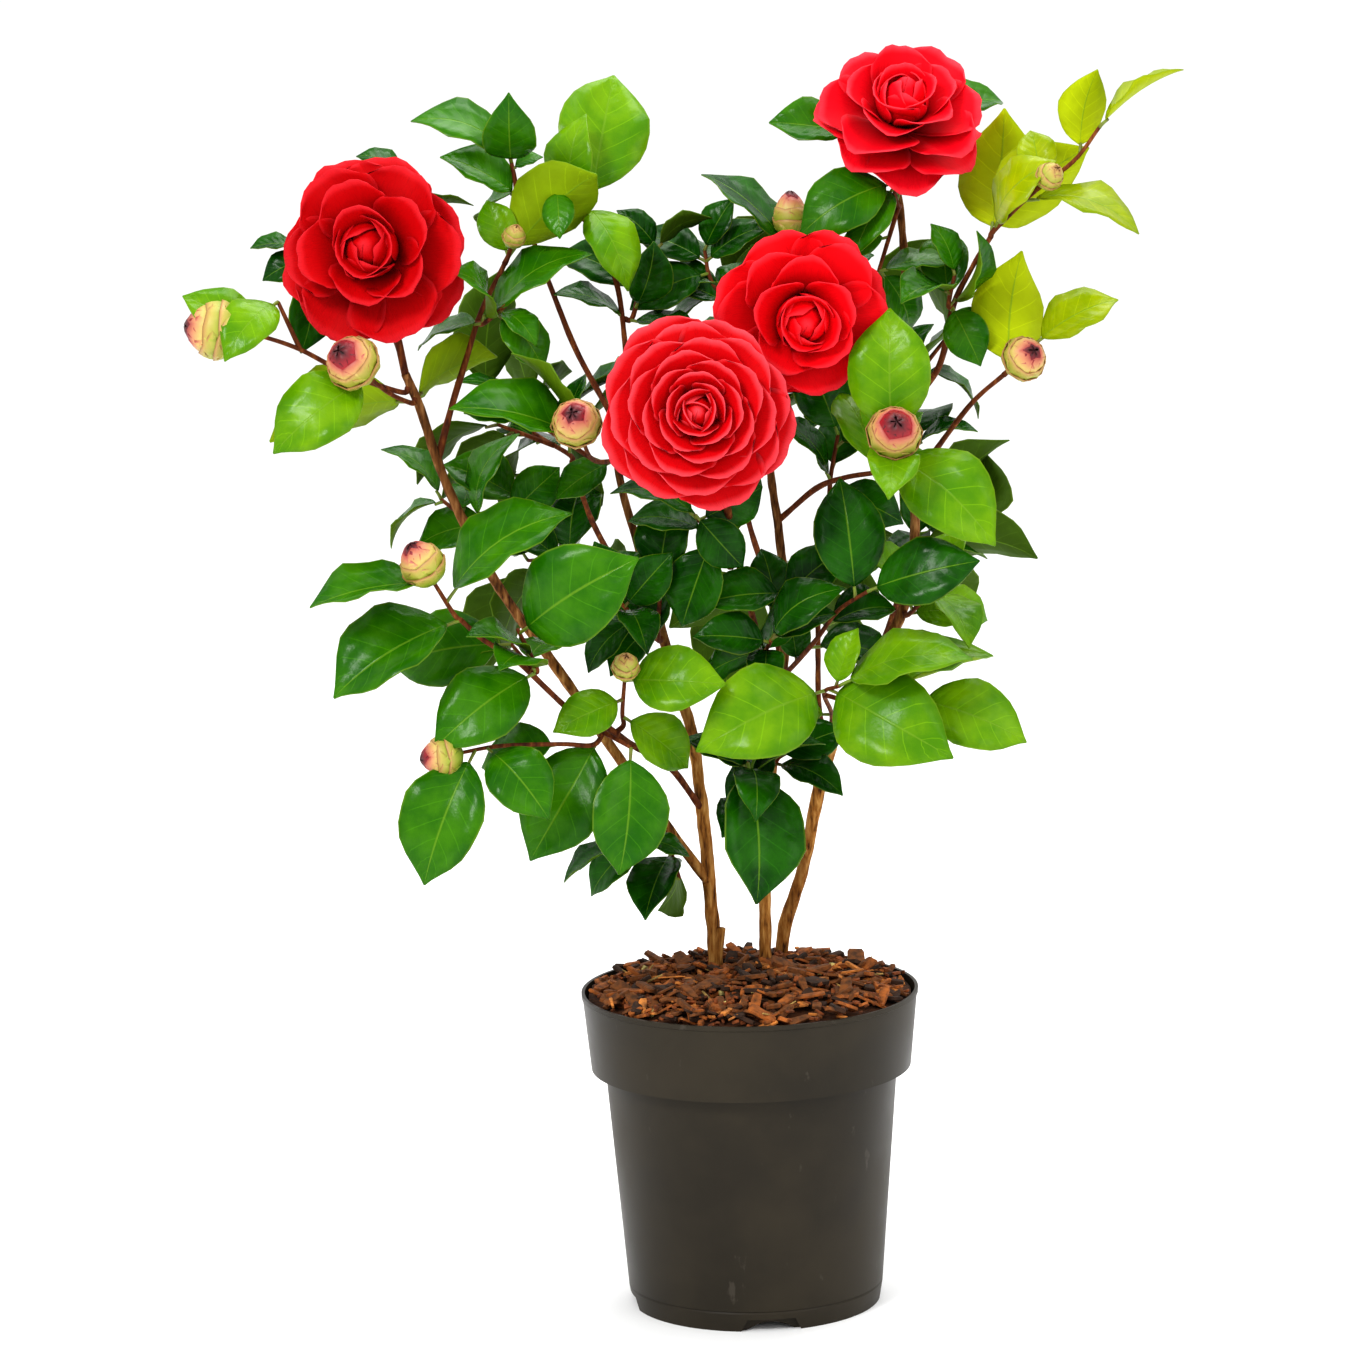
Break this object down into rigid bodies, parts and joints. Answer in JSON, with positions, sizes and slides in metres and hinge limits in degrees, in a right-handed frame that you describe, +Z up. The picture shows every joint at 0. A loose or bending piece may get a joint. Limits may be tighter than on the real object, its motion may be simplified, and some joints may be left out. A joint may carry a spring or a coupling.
{
  "type": "potted camellia shrub",
  "caption": "Evergreen flowering shrub with bare woody stems, glossy leaves, buds and double blooms, standing in a round nursery pot topped with bark.",
  "frame": {"origin": "centre of the pot's flat underside", "axes": "+Z up along the pot's axis; -Y towards the side from which the plant is seen, +X to that viewer's right"},
  "size_m": [0.4826, 0.2808, 0.6312],
  "materials": {
    "pot_plastic": "satin moulded nursery pot, dark grey-brown",
    "compost": "damp potting compost",
    "bark_chips": "rough red-brown bark chips",
    "bark": "tan ridged bark",
    "young_bark": "smooth red-brown young bark",
    "foliage": "glossy leathery leaf",
    "petals": "soft satin petal"
  },
  "bodies": {
    "root": {"pot": "pot_plastic", "compost": "compost", "bark_mulch": "bark_chips", "stem_left": "bark", "stem_middle": "bark", "stem_right": "bark", "bough_left": "bark", "fork_left": "young_bark", "branch_low_left": "young_bark", "shoot_top_left": "young_bark", "shoot_top_middle": "young_bark", "stem_front": "young_bark", "branch_middle": "young_bark", "stem_inner": "young_bark", "shoot_right_top": "young_bark", "shoot_right_low": "young_bark", "bough_back_left": "young_bark", "bough_back_middle": "young_bark", "bough_back_right": "young_bark", "bloom_west": "petals", "bloom_front": "petals", "bloom_centre": "petals", "bloom_east": "petals", "west_bud": "foliage", "west_low": "foliage", "west_top": "foliage", "top_middle": "foliage", "fork_tip": "foliage", "fork_side": "foliage", "top_left": "foliage", "top_centre": "foliage", "top_heart": "foliage", "north_bud": "foliage", "right_crown": "foliage", "bloom_collar": "foliage", "east_top": "foliage", "east_bud": "foliage", "east_middle": "foliage", "right_heart": "foliage", "inner_tip": "foliage", "red_twig": "foliage", "right_side": "foliage", "right_low": "foliage", "low_middle": "foliage", "middle_front": "foliage", "middle_heart": "foliage", "left_heart": "foliage", "young_tip": "foliage", "young_middle": "foliage", "young_low": "foliage", "young_up": "foliage", "low_back": "foliage", "centre_left": "foliage", "bough_side": "foliage", "back_left_low": "foliage", "back_left_top": "foliage", "back_middle_low": "foliage", "back_middle_top": "foliage", "back_right_low": "foliage", "back_right_top": "foliage"}
  },
  "joints": []
}
